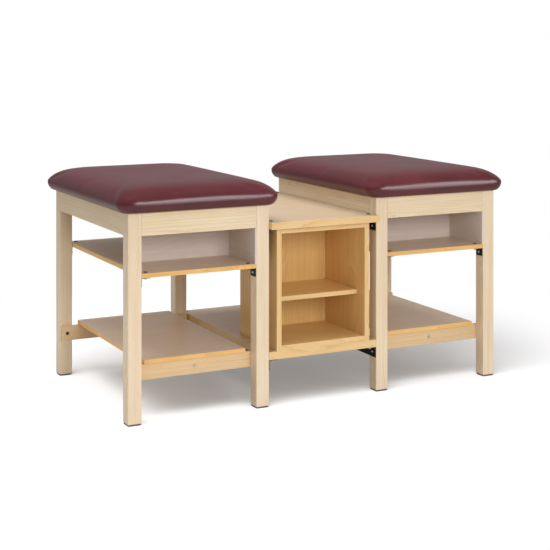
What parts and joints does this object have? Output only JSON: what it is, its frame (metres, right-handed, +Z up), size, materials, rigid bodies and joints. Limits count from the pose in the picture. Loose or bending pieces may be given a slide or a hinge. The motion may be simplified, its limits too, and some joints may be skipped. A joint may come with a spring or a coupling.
{
  "type": "two-seat taping station",
  "caption": "Padded treatment tables on square wooden legs, joined by a counter over an open cabinet, with shelves and front compartments below the seats.",
  "frame": {"origin": "on the floor, at the centre of the object's plan", "axes": "+X along the length, to the right seen from the front; +Y to the back; +Z up"},
  "size_m": [1.8288, 1.016, 0.924],
  "materials": {
    "maple": "clear satin lacquer on pale maple",
    "golden_maple": "golden maple laminate, satin",
    "shelf_laminate": "taupe laminate faces, maple edge band",
    "grey_laminate": "grey-taupe laminate, satin",
    "plywood": "bare plywood",
    "dowel_wood": "bare beech",
    "foam": "open-cell upholstery foam",
    "vinyl": "burgundy upholstery vinyl, satin",
    "black_steel": "black powder coat",
    "zinc_steel": "bright zinc",
    "dark_steel": "black oxide",
    "glide_plastic": "dark grey nylon",
    "pin_plastic": "pale plastic"
  },
  "bodies": {
    "station": {"apron_dowels": "dowel_wood", "bottom_angles": "black_steel", "bottom_board": "shelf_laminate", "bottom_board_bolts": "zinc_steel", "bracket_nuts": "zinc_steel", "bracket_screws": "zinc_steel", "cabinet_back": "golden_maple", "cabinet_dowels": "dowel_wood", "cabinet_floor": "golden_maple", "cabinet_left_side": "golden_maple", "cabinet_right_side": "golden_maple", "cabinet_top": "golden_maple", "counter_board": "golden_maple", "counter_bolts": "dark_steel", "counter_brackets": "black_steel", "foot_glides": "glide_plastic", "left_apron_back": "maple", "left_apron_front": "maple", "left_apron_left": "maple", "left_apron_right": "maple", "left_centre_stretcher": "maple", "left_compartment_back": "grey_laminate", "left_compartment_right": "grey_laminate", "left_leg_back_left": "maple", "left_leg_back_right": "maple", "left_leg_front_left": "maple", "left_leg_front_right": "maple", "left_lower_shelf": "shelf_laminate", "left_mid_shelf": "shelf_laminate", "left_rail_back": "maple", "left_rail_front": "maple", "left_seat_board": "plywood", "left_seat_cover": "vinyl", "left_seat_foam": "foam", "rail_bolts": "dark_steel", "right_apron_back": "maple", "right_apron_front": "maple", "right_apron_left": "maple", "right_apron_right": "maple", "right_centre_stretcher": "maple", "right_compartment_back": "grey_laminate", "right_compartment_right": "grey_laminate", "right_leg_back_left": "maple", "right_leg_back_right": "maple", "right_leg_front_left": "maple", "right_leg_front_right": "maple", "right_lower_shelf": "shelf_laminate", "right_mid_shelf": "shelf_laminate", "right_rail_back": "maple", "right_rail_front": "maple", "right_seat_board": "plywood", "right_seat_cover": "vinyl", "right_seat_foam": "foam", "seat_brackets": "black_steel", "shelf_bolts": "dark_steel", "shelf_brackets": "black_steel", "shelf_pins": "pin_plastic"},
    "loose_shelf": {"cabinet_shelf": "golden_maple"}
  },
  "joints": [
    {"name": "cabinet_shelf_slide", "type": "slide", "parent": "station", "child": "loose_shelf", "axis": [0, -1, 0], "range_m": [0, 0.36]}
  ]
}
